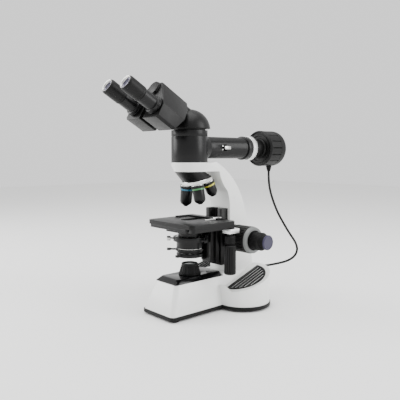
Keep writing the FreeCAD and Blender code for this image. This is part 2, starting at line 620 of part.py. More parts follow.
def make_nosepiece():
    tilt = dim.nose_tilt
    x, y, z = nose_centre()
    rise = Size(math.tan(math.radians(tilt.value)), f"tan({tilt.text} * 1 deg)")
    bearing = dim.spindle_rad + dim.running
    seat_low = (bearing - dim.nose_circle) * rise
    seat_high = (dim.nose_rad - dim.nose_circle) * rise
    blank = turned("turret_blank", [(bearing, seat_low), (dim.nose_rad, seat_high),
                                    (dim.nose_rad, dim.nose_thick), (bearing, dim.nose_thick)],
                   x=x, y=y, z=z, turn=turn_x(tilt))
    threads = []
    for index, (label, outline) in enumerate(OBJECTIVES):
        where = objective_place(dim.nose_park.value + 90 * -index)
        threads.append(rod(f"{label}_thread", dim.thread_rad, 30, **where))
        below = [(radius, -depth) for radius, depth in outline]
        tip = -outline[-1][1]
        turned(label, [(0, dim.thread_long), (0, tip + 1), (below[-1][0] - 1, tip + 1),
                       (below[-1][0] - 1, tip)] + below[::-1]
               + [(dim.thread_rad, 0), (dim.thread_rad, dim.thread_long)], **where)
    cut("nosepiece_turret", blank, *threads)
    top = from_frame((x, y, z), tilt, 0, size(0), dim.nose_thick + dim.gap)
    rings = []
    for name, radius, spot, turn in (("mount_top", dim.arm_disc_rad - 0.5, (0, 0, dim.arm_disc_low), UP),
                                     ("mount_foot", dim.nose_rad - 2, top, turn_x(tilt))):
        ring = document.addObject("Part::Circle", name)
        bind(ring, "Radius", radius)
        rings.append(place(ring, *spot, turn))
    skirt = document.addObject("Part::Loft", "mount_skirt")
    skirt.Sections = rings
    skirt.Solid = True
    skirt.Ruled = True
    spindle = turned("mount_spindle", [(0, -2), (dim.spindle_rad, -2), (dim.spindle_rad, 14), (0, 14)],
                     x=x, y=y, z=z, turn=turn_x(tilt))
    light = rod("mount_bore", 8, 60, z=235)
    cut("nosepiece_mount", fused("mount_solid", skirt, spindle), light)


# ---------------------------------------------------------------- reflected light

def make_tower():
    rad, bore = dim.tower_rad, dim.tower_bore
    body = turned("tower_blank", [(bore, dim.arm_disc_top), (rad, dim.arm_disc_top),
                                  (rad, dim.tower_groove), (rad - 1, dim.tower_groove),
                                  (rad - 1, dim.tower_groove + 1.5), (rad, dim.tower_groove + 1.5),
                                  (rad, dim.tower_top), (bore, dim.tower_top)])
    boss = rod("tower_boss", dim.tube_rad + 2, dim.tube_start - 22, y=22, z=dim.lamp_z, turn=ALONG_Y)
    light = rod("tower_side_bore", dim.tube_bore, 40, y=5, z=dim.lamp_z, turn=ALONG_Y)
    screw_bore = rod("clamp_bore", 2.05, 30, x=-40, z=334.5, turn=ALONG_X)
    cut("vertical_illuminator", fused("tower_solid", body, boss), light, screw_bore)
    turned("head_clamp_screw", [(0, -44), (5.5, -44), (5.5, -35), (2, -35), (2, -20.4), (0, -20.4)],
           z=334.5, turn=ALONG_X)
    glass = document.addObject("Part::Box", "beam_splitter")
    glass.Label = "beam_splitter"
    for name, long in (("Length", 26), ("Width", 1.2), ("Height", 36)):
        bind(glass, name, long)
    place(glass, -13, 12.7, dim.lamp_z - 13, turn_x(Size(45, "45")))


def make_lamp():
    axis = {"y": 0, "z": dim.lamp_z, "turn": ALONG_Y}
    bore = dim.tube_bore
    pipe = turned("tube_blank", [(bore, dim.tube_start), (dim.tube_rad, dim.tube_start),
                                 (dim.tube_rad, dim.flange_start), (dim.flange_rad, dim.flange_start),
                                 (dim.flange_rad, dim.flange_end), (bore, dim.flange_end)], **axis)
    slot = block("lever_slot", (16, 30), (66, 78), (dim.lamp_z - 6, dim.lamp_z + 6))
    cut("lamp_tube", pipe, slot)
    stem = block("lever_stem", (14, 26), (70, 74), (dim.lamp_z - 2, dim.lamp_z + 2))
    pad = block("lever_pad", (22, 26), (68, 84), (dim.lamp_z - 3, dim.lamp_z + 3))
    blades = turned("lever_iris", [(6, 70), (16.9, 70), (16.9, 74), (6, 74)], **axis)
    fused("diaphragm_lever", stem, pad, blades)
    turned("lamp_coupling_ring", [(bore, dim.flange_end), (dim.flange_rad + 1, dim.flange_end),
                                  (dim.flange_rad + 1, dim.coupling_end - 3),
                                  (dim.flange_rad - 1, dim.coupling_end), (bore, dim.coupling_end)], **axis)
    house = dim.house_rad
    wall = dim.house_wall
    shell = turned("house_blank", [(bore - 1, dim.coupling_end), (dim.neck_rad, dim.coupling_end),
                                   (dim.neck_rad, dim.house_start + 3),
                                   (house - 10, dim.house_start + 3), (house - 8, dim.house_start),
                                   (house - 3, dim.house_start), (house, dim.house_start + 4),
                                   (house, dim.house_end - 12), (house - 12, dim.house_end, 12),
                                   (0, dim.house_end), (0, dim.house_end - wall),
                                   (house - 12 - wall, dim.house_end - wall),
                                   (house - wall, dim.house_end - 16),
                                   (house - wall, dim.house_start + 3 + wall),
                                   (bore - 1, dim.house_start + 3 + wall)], **axis)
    gland_hole = rod("gland_hole", 3.05, 24, y=dim.gland_y, z=dim.gland_low)
    cut("lamp_house", shell, gland_hole)
    turned("lamp_bulb", [(0, dim.house_start + 8), (4, dim.house_start + 10), (6, dim.house_start + 16),
                         (6, dim.house_start + 24), (11, dim.house_start + 28),
                         (11, dim.house_end - wall), (0, dim.house_end - wall)], **axis)
    low = dim.gland_low
    gland = turned("gland_blank", [(0, low), (3.2, low), (5, low + 6), (6, low + 10), (6, low + 13),
                                   (3, low + 13), (3, low + 20), (0, low + 20)], y=dim.gland_y)
    house_space = rod("gland_trim", house, 40, y=dim.house_start + 10, z=dim.lamp_z, turn=ALONG_Y)
    neck_part = rod("gland_stem", 3, 20, y=dim.gland_y, z=low)
    fused("cord_gland", cut("gland_outside", gland, house_space), neck_part)


# ---------------------------------------------------------------- head

def head_frame(x=0, q=0):
    """Where a piece of the inclined head stands: x across and q square to the tubes' direction."""
    tilt = dim.eye_tilt
    across, y, z = from_frame((size(0), size(0), dim.head_z), tilt, x, size(q), size(0))
    return {"x": across, "y": y, "z": z, "turn": turn_x(tilt)}


def make_head():
    dome = document.addObject("Part::Sphere", "dome_ball")
    bind(dome, "Radius", dim.dome_rad)
    place(dome, z=dim.tower_top)
    above = block("dome_above", (-50, 50), (-50, 50), (dim.neck_top, 400))
    front = turned("dome_front", [(0, -90), (90, -90), (90, dim.prism_start - 1), (0, dim.prism_start - 1)],
                   **head_frame())
    dome = common("dome_cut", common("dome_half", dome, above), front)
    neck = turned("neck", [(0, dim.tower_top - 5), (dim.tower_bore - dim.running, dim.tower_top - 5),
                           (dim.tower_bore - dim.running, dim.tower_top + dim.gap),
                           (dim.head_neck, dim.tower_top + dim.gap), (dim.head_neck, dim.neck_top + 2),
                           (0, dim.neck_top + 2)])
    hub = turned("hub", [(0, 0), (dim.hub_rad, 0), (dim.hub_rad, dim.hub_end), (dim.hub_rad - 1.5,
                                                                               dim.hub_cap),
                         (0, dim.hub_cap)], **head_frame())
    light = rod("head_bore", 11, 30, z=dim.tower_top - 8)
    cut("head_body", fused("head_solid", dome, neck, hub), light)


def make_eye_side(name, side):
    start, end, low, out = dim.prism_start, dim.prism_end, dim.prism_low, dim.prism_out
    inner = 5
    outline = [(side * x, q) for x, q in ((inner, low), (out - 4, low), (out, low + 4), (out, -33),
                                          (16, 11.5), (10, 12.5), (inner, 8))]
    blank = sawn(f"prism_blank_{name}", outline, start, end, **head_frame())
    hub_space = rod(f"hub_space_{name}", dim.hub_rad + dim.gap, 200, **head_frame())
    slant = sawn(f"prism_slant_{name}", [(0, 0), (-5, 28.5), (-61, 52), (-61, 0)], -60, 60,
                 plane="YZ_Plane", z=dim.head_z, turn=turn_x(dim.eye_tilt))
    eye = head_frame(side * dim.eye_x, dim.eye_q)
    light = rod(f"prism_bore_{name}", dim.sleeve_eye, 30, **eye)
    bind(light, "Height", end + 5)
    light_low = rod(f"prism_floor_{name}", dim.sleeve_eye + 1, end - 15, **eye)
    cut(f"prism_housing_{name}", blank, hub_space, slant, cut(f"prism_light_{name}", light, light_low))
    bore = dim.sleeve_eye + dim.running
    turned(f"eyetube_{name}", [(bore, end), (dim.ring_out, end + 1), (dim.ring_out, dim.ring_end),
                               (dim.eyetube_rad, dim.ring_end), (dim.eyetube_rad, dim.eyetube_end),
                               (bore, dim.eyetube_end)], **eye)
    rad = dim.eyepiece_rad
    top = dim.eyepiece_end
    turned(f"eyepiece_{name}", [(9, end + 6), (dim.sleeve_eye, end + 6),
                                (dim.sleeve_eye, dim.eyetube_end + dim.gap),
                                (rad, dim.eyetube_end + dim.gap), (rad, top - 3), (rad - 2, top),
                                (11, top), (9.5, top - 3), (0, top - 4), (0, top - 10),
                                (9, top - 8)], **eye)


# ---------------------------------------------------------------- lead

def lead_path(points):
    """Straight runs joined by tangent arcs, each arc as large as its two runs allow."""
    edges = []
    here = points[0]
    for before, corner, after in zip(points, points[1:], points[2:]):
        to_corner, away = corner - before, after - corner
        turn = to_corner.getAngle(away)
        cut_back = 0.45 * min(to_corner.Length, away.Length)
        radius = cut_back / math.tan(turn / 2)
        start = corner - to_corner.normalize() * cut_back
        end = corner + away.normalize() * cut_back
        inward = (start + end) * 0.5 - corner
        far = math.hypot(radius, cut_back)
        middle = corner + inward.normalize() * (far - radius)
        edges += [Part.LineSegment(here, start).toShape(), Part.Arc(start, middle, end).toShape()]
        print(f"lead radius {radius:.1f}")
        here = end
    edges.append(Part.LineSegment(here, points[-1]).toShape())
    return Part.Wire(edges)


def make_lead():
    offset = sheet.get("optical_y")
    points = [Vector(x, y + float(offset), z) for x, y, z in LEAD_ROUTE]
    path = lead_path(points)
    radius = float(sheet.get("lead_dia")) / 2
    circle = Part.makeCircle(radius, points[0], points[1] - points[0])
    lead = document.addObject("Part::Feature", "lamp_lead")
    lead.Label = "lamp_lead"
    lead.Shape = path.makePipeShell([Part.Wire(circle)], True, False)
    print(f"lead length {path.Length:.1f}, volume over section times length "
          f"{lead.Shape.Volume / (math.pi * radius ** 2 * path.Length):.4f}")


NODES = (
    "base_housing", "base_plate", "rubber_feet", "top_panel", "vent_grilles", "field_ring", "field_lens",
    "base_lamp", "power_switch", "brightness_knob", "power_inlet", "lead_socket",
    "arm", "focus_guide", "coarse_knob_right", "coarse_knob_left", "coarse_shaft", "tension_ring",
    "fine_knob_right", "fine_knob_left", "fine_shaft", "focus_slide",
    "stage_carrier", "stage_lower_plate", "stage_top_plate", "control_bracket", "slide_holder",
    "slide_finger", "stage_x_knob", "stage_y_knob",
    "condenser_holder", "condenser_body", "condenser_lens", "centering_screw", "condenser_focus_knob",
    "iris_lever", "filter_holder",
    "nosepiece_mount", "nosepiece_turret", "objective_5x", "objective_10x", "objective_20x",
    "objective_40x",
    "vertical_illuminator", "head_clamp_screw", "beam_splitter", "lamp_tube", "diaphragm_lever",
    "lamp_coupling_ring", "lamp_house", "lamp_bulb", "cord_gland", "lamp_lead",
    "head_body", "prism_housing_right", "prism_housing_left", "eyetube_right", "eyetube_left",
    "eyepiece_right", "eyepiece_left",
)


def write_parts():
    """Check every object and write each sub-part to its own file."""
    document.recompute()
    failed = [thing.Label for thing in document.Objects if {"Invalid", "Error"} & set(thing.State)]
    if failed:
        raise RuntimeError(f"failed: {failed}")
    os.makedirs("parts", exist_ok=True)
    for label in NODES:
        shape = document.getObjectsByLabel(label)[0].Shape
        if shape.isNull() or not shape.isValid():
            raise RuntimeError(f"{label} has no valid shape")
        shape.exportStep(f"parts/{label}.step")


make_base()
make_base_light()
make_base_controls()
make_arm()
make_focus()
make_stage()
make_condenser()
make_nosepiece()
make_tower()
make_lamp()
make_head()
make_eye_side("right", 1)
make_eye_side("left", -1)
make_lead()
write_parts()
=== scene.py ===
"""Microscope with a reflected-light lamp: the visible pieces, built around the packed frame."""
import json
import math

import bmesh
import bpy
from bpy.props import FloatProperty, IntProperty, PointerProperty
from mathutils import Matrix, Vector

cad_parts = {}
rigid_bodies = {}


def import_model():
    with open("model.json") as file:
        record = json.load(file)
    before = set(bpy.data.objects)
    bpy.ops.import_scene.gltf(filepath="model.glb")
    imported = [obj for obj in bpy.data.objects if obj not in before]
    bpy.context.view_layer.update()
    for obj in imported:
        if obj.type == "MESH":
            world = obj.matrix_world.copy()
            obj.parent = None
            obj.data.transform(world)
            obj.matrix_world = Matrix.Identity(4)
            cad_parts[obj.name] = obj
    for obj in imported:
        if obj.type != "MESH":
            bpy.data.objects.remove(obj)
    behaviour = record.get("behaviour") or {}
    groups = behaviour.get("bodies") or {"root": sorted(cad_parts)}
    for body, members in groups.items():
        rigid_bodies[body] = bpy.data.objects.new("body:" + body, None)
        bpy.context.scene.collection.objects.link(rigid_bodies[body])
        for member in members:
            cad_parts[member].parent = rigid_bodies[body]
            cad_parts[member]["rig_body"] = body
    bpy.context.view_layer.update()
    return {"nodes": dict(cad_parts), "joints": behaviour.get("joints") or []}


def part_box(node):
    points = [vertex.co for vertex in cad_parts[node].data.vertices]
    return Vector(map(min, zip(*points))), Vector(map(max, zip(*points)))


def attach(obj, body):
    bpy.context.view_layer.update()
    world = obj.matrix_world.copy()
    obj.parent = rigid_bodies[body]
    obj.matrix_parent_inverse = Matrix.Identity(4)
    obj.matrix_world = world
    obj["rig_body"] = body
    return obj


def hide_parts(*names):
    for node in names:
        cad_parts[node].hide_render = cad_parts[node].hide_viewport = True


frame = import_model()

bl_info = {
    "name": "Microscope with reflected light",
    "version": (1, 0, 0),
    "blender": (4, 5, 0),
    "location": "View3D > Sidebar > Microscope",
    "description": "Builds the visible pieces of a binocular microscope around its frame",
    "category": "Add Mesh",
}

JOINTS = {joint["name"]: joint for joint in frame["joints"]}
MM = 0.001
TURN = math.tau


def middle(node):
    low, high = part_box(node)
    return (low + high) / 2


AXIS = middle("field_lens")            # the optical axis, as seen from above
LAMP_Z = middle("lamp_coupling_ring").z
KNOBS = middle("coarse_shaft")
DROP_KNOBS = middle("stage_x_knob")
HUB = Vector(JOINTS["eye_distance_right"]["pos_m"])
HUB_AXIS = Vector(JOINTS["eye_distance_right"]["axis"])
NOSE = Vector(JOINTS["nosepiece_turn"]["pos_m"])
NOSE_AXIS = Vector(JOINTS["nosepiece_turn"]["axis"])
EYE_TILT = math.acos(HUB_AXIS.z)
NOSE_TILT = math.acos(NOSE_AXIS.z)


# ---------------------------------------------------------------- places, with millimetres inside them

def at(point, rotation=Matrix.Identity(4)):
    """A place in the frame whose own numbers are millimetres."""
    return Matrix.Translation(point) @ rotation @ Matrix.Scale(MM, 4)


def turned(degrees, axis):
    return Matrix.Rotation(math.radians(degrees), 4, axis)


UPRIGHT = at((AXIS.x, AXIS.y, 0))                                   # heights from the table
ALONG_TUBE = at((AXIS.x, AXIS.y, LAMP_Z), turned(-90, "X"))         # distances behind the optical axis
KNOB_SIDES = {"right": at(KNOBS, turned(90, "Y")), "left": at(KNOBS, turned(-90, "Y"))}
INCLINED = at(HUB, Matrix.Rotation(EYE_TILT, 4, "X"))               # across, upwards, along the eyetubes
NOSEPIECE = at(NOSE, Matrix.Rotation(NOSE_TILT, 4, "X"))
DROPPED = at((DROP_KNOBS.x, DROP_KNOBS.y, 0))


# ---------------------------------------------------------------- materials

def linear(hex_colour):
    """An sRGB hex colour as linear red, green, blue and alpha."""
    channels = [int(hex_colour[i:i + 2], 16) / 255 for i in (1, 3, 5)]
    return tuple(c / 12.92 if c <= 0.04045 else ((c + 0.055) / 1.055) ** 2.4 for c in channels) + (1.0,)


def add(tree, kind, inputs=None, **settings):
    """Add a node, set it up and fill its inputs with values or links."""
    node = tree.nodes.new(kind)
    for name, value in settings.items():
        setattr(node, name, value)
    for name, value in (inputs or {}).items():
        if isinstance(value, bpy.types.NodeSocket):
            tree.links.new(value, node.inputs[name])
        else:
            node.inputs[name].default_value = value
    return node


def finish(name, colour, rough, grain_mm, depth_mm, drift=0.08, rough_drift=0.08, **shader):
    """A finish on Object coordinates: a colour that drifts a little, an uneven gloss and a fine grain."""
    material = bpy.data.materials.new(name)
    material.use_nodes = True
    tree = material.node_tree
    principled = tree.nodes["Principled BSDF"]
    place = add(tree, "ShaderNodeTexCoord").outputs["Object"]
    wide = add(tree, "ShaderNodeTexNoise", {"Vector": place, "Scale": 1 / (35 * MM), "Detail": 3.0})
    base = linear(colour)
    darker = tuple(c * (1 - drift) for c in base[:3]) + (1.0,)
    lighter = tuple(min(c * (1 + drift), 1) for c in base[:3]) + (1.0,)
    tint = add(tree, "ShaderNodeMix", {"Factor": wide.outputs["Fac"]}, data_type="RGBA")
    for socket, value in zip([s for s in tint.inputs if s.type == "RGBA"], (darker, lighter)):
        socket.default_value = value
    tree.links.new([s for s in tint.outputs if s.type == "RGBA"][0], principled.inputs["Base Color"])
    handled = add(tree, "ShaderNodeTexNoise", {"Vector": place, "Scale": 1 / (9 * MM), "Detail": 4.0})
    gloss = add(tree, "ShaderNodeMapRange", {"Value": handled.outputs["Fac"],
                                            "To Min": rough - rough_drift, "To Max": rough + rough_drift})
    tree.links.new(gloss.outputs["Result"], principled.inputs["Roughness"])
    grain = add(tree, "ShaderNodeTexNoise", {"Vector": place, "Scale": 1 / (grain_mm * MM), "Detail": 2.0})
    bump = add(tree, "ShaderNodeBump", {"Height": grain.outputs["Fac"], "Distance": depth_mm * MM,
                                        "Strength": 1.0})
    tree.links.new(bump.outputs["Normal"], principled.inputs["Normal"])
    for socket, value in shader.items():
        principled.inputs[socket.replace("_", " ")].default_value = value
    return material


def glass(name, colour, reflection):
    """A coated lens: dark inside, with the coloured reflection of its coating."""
    material = finish(name, colour, 0.04, 2.0, 0.0005, rough_drift=0.01)
    shader = material.node_tree.nodes["Principled BSDF"]
    shader.inputs["Coat Weight"].default_value = 1.0
    shader.inputs["Coat Roughness"].default_value = 0.02
    shader.inputs["Coat Tint"].default_value = linear(reflection)
    shader.inputs["IOR"].default_value = 1.6
    return material


def make_materials():
    return {
        # Polyurethane enamel on cast aluminium: even, semi-gloss, with a faint orange peel.
        "white enamel": finish("white_enamel", "#E9EAE8", 0.30, 1.6, 0.006, drift=0.015, Coat_Weight=0.25,
                               Coat_Roughness=0.12),
        # Stoved enamel with a fine eggshell texture on turned and cast aluminium.
        "black enamel": finish("black_stoved_enamel", "#090909", 0.38, 0.6, 0.010, drift=0.12,
                               Specular_IOR_Level=0.22),
        # Satin black anodising on turned aluminium.
        "black anodised": finish("black_anodised_aluminium", "#09090A", 0.32, 0.25, 0.003, drift=0.15,
                                 Specular_IOR_Level=0.25),
        # Moulded ABS with a fine spark-eroded grain.
        "black plastic": finish("moulded_black_abs", "#0A0A0A", 0.47, 0.45, 0.012, drift=0.1,
                                Specular_IOR_Level=0.2),
        "gloss plastic": finish("polished_black_abs", "#09090A", 0.16, 3.0, 0.001, drift=0.08,
                                rough_drift=0.04, Specular_IOR_Level=0.3),
        "rubber": finish("black_nitrile_rubber", "#090909", 0.75, 0.5, 0.02, drift=0.1,
                         Specular_IOR_Level=0.2),
        "cord jacket": finish("pvc_cord_jacket", "#09090A", 0.42, 0.8, 0.006, drift=0.08,
                              Specular_IOR_Level=0.25),
        # Bare turned metals.
        "steel": finish("turned_steel", "#C9C9C7", 0.28, 0.3, 0.003, drift=0.05, Metallic=1.0),
        "chrome": finish("bright_chrome", "#DDDDDB", 0.12, 0.8, 0.001, drift=0.02, rough_drift=0.04,
                         Metallic=1.0),
        "aluminium": finish("satin_aluminium", "#E4E5E4", 0.34, 0.25, 0.003, drift=0.03, Metallic=1.0),
        # A lighter grey for the rim of the coarse knobs' faces: a painted highlight of the rim, given all
        # round.
        "rim highlight grey": finish("grey_enamel_painted_highlight", "#6E706F", 0.35, 0.5, 0.004, drift=0.05),
        "blue band": finish("light_blue_band_enamel", "#1E6E8C", 0.35, 0.5, 0.002),
        "yellow band": finish("yellow_band_enamel", "#B9B43A", 0.35, 0.5, 0.002),
        "green band": finish("green_band_enamel", "#3C7A47", 0.35, 0.5, 0.002),
        "red band": finish("red_band_enamel", "#9C3A33", 0.35, 0.5, 0.002),
        "violet cap": finish("violet_black_cap", "#28243E", 0.38, 0.5, 0.01),
        "lens": glass("coated_lens_glass", "#08080C", "#9A8FD0"),
        "lamp lens": glass("frosted_lamp_lens", "#C9CFCC", "#FFFFFF"),
    }


MATERIALS = {}


# ---------------------------------------------------------------- mesh tools

def lathe(profile, steps=72):
    """Spin a line of (radius, height) points about Z. A line that returns to its start makes a ring."""
    mesh = bmesh.new()
    points = [mesh.verts.new((radius, 0, height)) for radius, height in profile]
    edges = [mesh.edges.new(pair) for pair in zip(points, points[1:])]
    bmesh.ops.spin(mesh, geom=points + edges, cent=(0, 0, 0), axis=(0, 0, 1), angle=TURN, steps=steps,
                   use_merge=True)
    bmesh.ops.remove_doubles(mesh, verts=mesh.verts, dist=1e-4)
    bmesh.ops.recalc_face_normals(mesh, faces=mesh.faces)
    return mesh


def ring(profile, steps=72):
    return lathe(list(profile) + [profile[0]], steps)


def soften(mesh, width, angle=30, segments=2):
    """Bevel every edge that turns by more than the angle."""
    sharp = [edge for edge in mesh.edges
             if len(edge.link_faces) == 2 and edge.calc_face_angle(0) > math.radians(angle)]
    bmesh.ops.bevel(mesh, geom=sharp, offset=width, offset_type="OFFSET", segments=segments, profile=0.5,
                    affect="EDGES", clamp_overlap=True, material=-1)
    return mesh


def flutes(mesh, low, high, count, depth, share=0.5):
    """Press evenly spaced grooves into the points between two heights, away from Z."""
    for point in mesh.verts:
        if not low <= point.co.z <= high:
            continue
        phase = (math.atan2(point.co.y, point.co.x) / TURN * count) % 1
        if phase < share - 1e-4 or phase > 1 - 1e-4:
            continue
        radius = math.hypot(point.co.x, point.co.y)
        point.co.xy *= (radius - depth) / radius
    return mesh


def joined(*meshes):
    """All the shapes in one mesh."""
    total = bmesh.new()
    for mesh in meshes:
        holder = bpy.data.meshes.new("holder")
        mesh.to_mesh(holder)
        mesh.free()
        total.from_mesh(holder)
        bpy.data.meshes.remove(holder)
    return total


def moved(mesh, matrix):
    bmesh.ops.transform(mesh, matrix=matrix, verts=mesh.verts)
    return mesh


def painted(mesh, index, low=-1e9, high=1e9, inner=-1, outer=1e9):
    """Give the faces between two heights and two radii another of the piece's materials."""
    for face in mesh.faces:
        centre = face.calc_center_median()
        if low < centre.z < high and inner < math.hypot(centre.x, centre.y) < outer:
            face.material_index = index
    return mesh


def cad_copy(node, softness=0, angle=30, segments=2):
    """A merged copy of a node's mesh, in millimetres, with its edges eased."""
    mesh = bmesh.new()
    mesh.from_mesh(frame["nodes"][node].data)
    bmesh.ops.scale(mesh, vec=(1 / MM,) * 3, verts=mesh.verts)
    bmesh.ops.remove_doubles(mesh, verts=mesh.verts, dist=1e-3)
    bmesh.ops.dissolve_limit(mesh, angle_limit=math.radians(0.5), verts=mesh.verts, edges=mesh.edges)
    if softness:
        soften(mesh, softness, angle, segments)
    return mesh


def piece(name, mesh, place, body, finishes, stands_for=(), crease=32):
    """Turn a shape into an object that rides on a body and stands for CAD nodes."""
    moved(mesh, place)
    data = bpy.data.meshes.new(name)
    mesh.to_mesh(data)
    mesh.free()
    data.shade_smooth()
    data.set_sharp_from_angle(angle=math.radians(crease))
    for finish_name in [finishes] if isinstance(finishes, str) else finishes:
        data.materials.append(MATERIALS[finish_name])
    thing = bpy.data.objects.new(name, data)
    bpy.context.scene.collection.objects.link(thing)
    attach(thing, body)
    if stands_for:
        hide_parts(*([stands_for] if isinstance(stands_for, str) else stands_for))
    return thing


IN_FRAME = Matrix.Scale(MM, 4)


def eased(node, name, finish_name, softness, segments=2, angle=30):
    """A CAD node's shape with eased edges and its real finish."""
    body = frame["nodes"][node]["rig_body"]
    return piece(name, cad_copy(node, softness, angle, segments), IN_FRAME, body, finish_name, node)


def coat(node, finish_name):
    """Give a CAD node that shows as it is its real finish."""
    data = frame["nodes"][node].data
    data.materials.clear()
    data.materials.append(MATERIALS[finish_name])


# ---------------------------------------------------------------- base

def build_base(sizes):
    eased("base_housing", "base_shell", "white enamel", 1.6, segments=3)
    eased("base_plate", "base_trim", "black plastic", 0.9)
    eased("rubber_feet", "table_feet", "rubber", 0.7)
    eased("top_panel", "illuminator_panel", "gloss plastic", 1.2, segments=3)
    eased("vent_grilles", "louvred_vents", "black plastic", 0.35)


def build_base_light(sizes):
    low, high = (corner.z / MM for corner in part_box("field_ring"))
    foot = (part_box("field_ring")[1].x - AXIS.x) / MM
    top = foot - 6
    inner = 13.5
    grip_low, grip_high = low + 3, high - 4
    cone = ring([(inner, low), (foot - 0.6, low), (foot, low + 0.6), (foot, low + 2.6), (foot - 0.8, low + 3),
                 (foot - 0.9, low + 3.2), (top + 1.1, grip_high - 0.2), (top + 1, grip_high),
                 (top + 0.7, high - 3), (top + 0.7, high - 1), (top, high), (inner + 0.3, high),
                 (inner, high - 0.8)], 4 * sizes.collar_ribs)
    flutes(cone, grip_low + 0.1, grip_high - 0.1, sizes.collar_ribs, 1.1)
    piece("ribbed_field_ring", cone, UPRIGHT, "field_ring", "black plastic", "field_ring")
    low, high = (corner.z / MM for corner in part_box("field_lens"))
    lens = lathe([(0, low), (13.0, low), (13.0, high - 1.5), (10, high - 0.7), (5, high - 0.1), (0, high)])
    piece("field_lens_glass", lens, UPRIGHT, "stand", "lamp lens", "field_lens")


def build_base_controls(sizes):
    eased("power_inlet", "rear_inlet", "black plastic", 0.4)
    eased("power_switch", "rocker_switch", "gloss plastic", 0.6)
    eased("lead_socket", "rear_lead_socket", "black plastic", 0.4)
    knob = middle("brightness_knob")
    outer = (knob.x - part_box("brightness_knob")[0].x) / MM
    place = at((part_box("brightness_knob")[0].x, knob.y, knob.z), turned(90, "Y"))
    shape = lathe([(0, 0.6), (7.4, 0.6), (7.9, 0), (9, 0), (10, 1), (10, 1.2), (9.9, 1.3), (9.9, 8.5),
                   (10, 8.6), (10, 10), (3, 10), (3, 2 * outer), (0, 2 * outer)], 96)
    flutes(shape, 1.25, 8.55, 24, 0.7)
    piece("ribbed_brightness_knob", shape, place, "brightness_knob", "black plastic",
          "brightness_knob")


# ---------------------------------------------------------------- arm and focus

def build_arm(sizes):
    eased("arm", "arm_casting", "white enamel", 2.2, segments=4, angle=40)
    eased("focus_guide", "focus_guide_block", "black enamel", 0.8)
    for node, colour in (("focus_slide", "steel"), ("coarse_shaft", "steel"), ("fine_shaft", "steel"),
                         ("base_lamp", "black plastic"), ("lamp_bulb", "lamp lens"),
                         ("beam_splitter", "lamp lens"), ("condenser_lens", "lens")):
        coat(node, colour)


def build_focus_knobs(sizes):
    for side, place in KNOB_SIDES.items():
        coarse = ring([(5, 40.5), (23.5, 40.5), (24, 40), (25, 40), (26, 41), (26, 43), (25.8, 43.2),
                       (25.8, 73.8), (26, 74), (26, 76), (25.2, 76.8), (25.2, 77.6), (25.8, 78.2),
                       (24.6, 82.8), (23.4, 84), (19.4, 84), (18.8, 83.4), (18.8, 81), (5, 81)], 144)
        flutes(coarse, 43.1, 73.9, 24, 1.3, 0.72)
        # The rim of the knob's face gets the lighter grey, a painted highlight.
        painted(coarse, 1, 77.7, 85, 18.9)
        piece(f"ribbed_coarse_knob_{side}", coarse, place, "coarse_drive", ["black plastic", "rim highlight grey"],
              f"coarse_knob_{side}")
        fine = lathe([(3, 87), (15.8, 87), (17, 88.2), (17, 89.5), (16.9, 89.6), (16.9, 102.4), (17, 102.5),
                      (17, 103.6), (15.8, 104.8), (14.4, 105), (14.2, 106), (14, 107), (13.9, 107.1),
                      (13.9, 115.4), (14, 115.5), (14, 117.6), (12.6, 119), (11.2, 119), (10.8, 118.5),
                      (0, 118.5)], 144)
        flutes(fine, 89.55, 102.45, 36, 0.45)
        flutes(fine, 107.05, 115.45, 36, 0.4)
        painted(fine, 1, 115.5, 120)
        piece(f"fine_knob_with_cap_{side}", fine, place, "fine_drive", ["black plastic", "violet cap"],
              f"fine_knob_{side}")
    tension = ring([(12.1, 28.6), (24, 28.6), (25, 29.6), (25, 30.4), (24.9, 30.5), (24.9, 35.5),
                    (25, 35.6), (25, 36.4), (23.6, 38), (12.1, 38)], 192)
    flutes(tension, 30.45, 35.55, 48, 0.6)
    piece("ribbed_tension_ring", tension, KNOB_SIDES["right"], "tension_ring", "black plastic",
          "tension_ring")


# ---------------------------------------------------------------- stage

def build_stage(sizes):
    eased("stage_carrier", "stage_bracket", "black enamel", 0.7)
    eased("stage_lower_plate", "lower_stage", "black anodised", 0.7)
    eased("stage_top_plate", "upper_stage", "black enamel", 0.9, segments=3)
    eased("control_bracket", "bare_bracket", "aluminium", 0.5)
    eased("slide_holder", "slide_clip_bar", "black anodised", 0.35)
    eased("slide_finger", "slide_finger_clip", "steel", 0.3)


def build_drop_knobs(sizes):
    low, high = (corner.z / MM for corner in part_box("stage_y_knob"))
    upper = ring([(2.6, low), (8.6, low), (9.5, low + 0.9), (9.5, low + 1.6), (9.4, low + 1.7),
                  (9.4, low + 13), (9.5, low + 13.1), (9.5, low + 14), (8.4, low + 15), (5, low + 15.5),
                  (5, high), (2.6, high)], 120)
    flutes(upper, low + 1.65, low + 13.05, 30, 0.6)
    piece("ribbed_upper_drop_knob", upper, DROPPED, "stage_y_knob", "black plastic",
          "stage_y_knob")
    low, high = (corner.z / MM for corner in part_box("stage_x_knob"))
    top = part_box("stage_y_knob")[0].z / MM - 1.5
    lower = lathe([(0, low), (9.6, low), (11, low + 1.4), (11, low + 2.4), (10.9, low + 2.5),
                   (10.9, top - 3.1), (11, top - 3), (11, top - 1.2), (9.8, top), (2.5, top), (2.5, high),
                   (0, high)], 96)
    flutes(lower, low + 2.45, top - 3.05, 16, 1.0, 0.7)
    piece("ribbed_lower_drop_knob", lower, DROPPED, "stage_x_knob", "black plastic",
          "stage_x_knob")


# ---------------------------------------------------------------- condenser

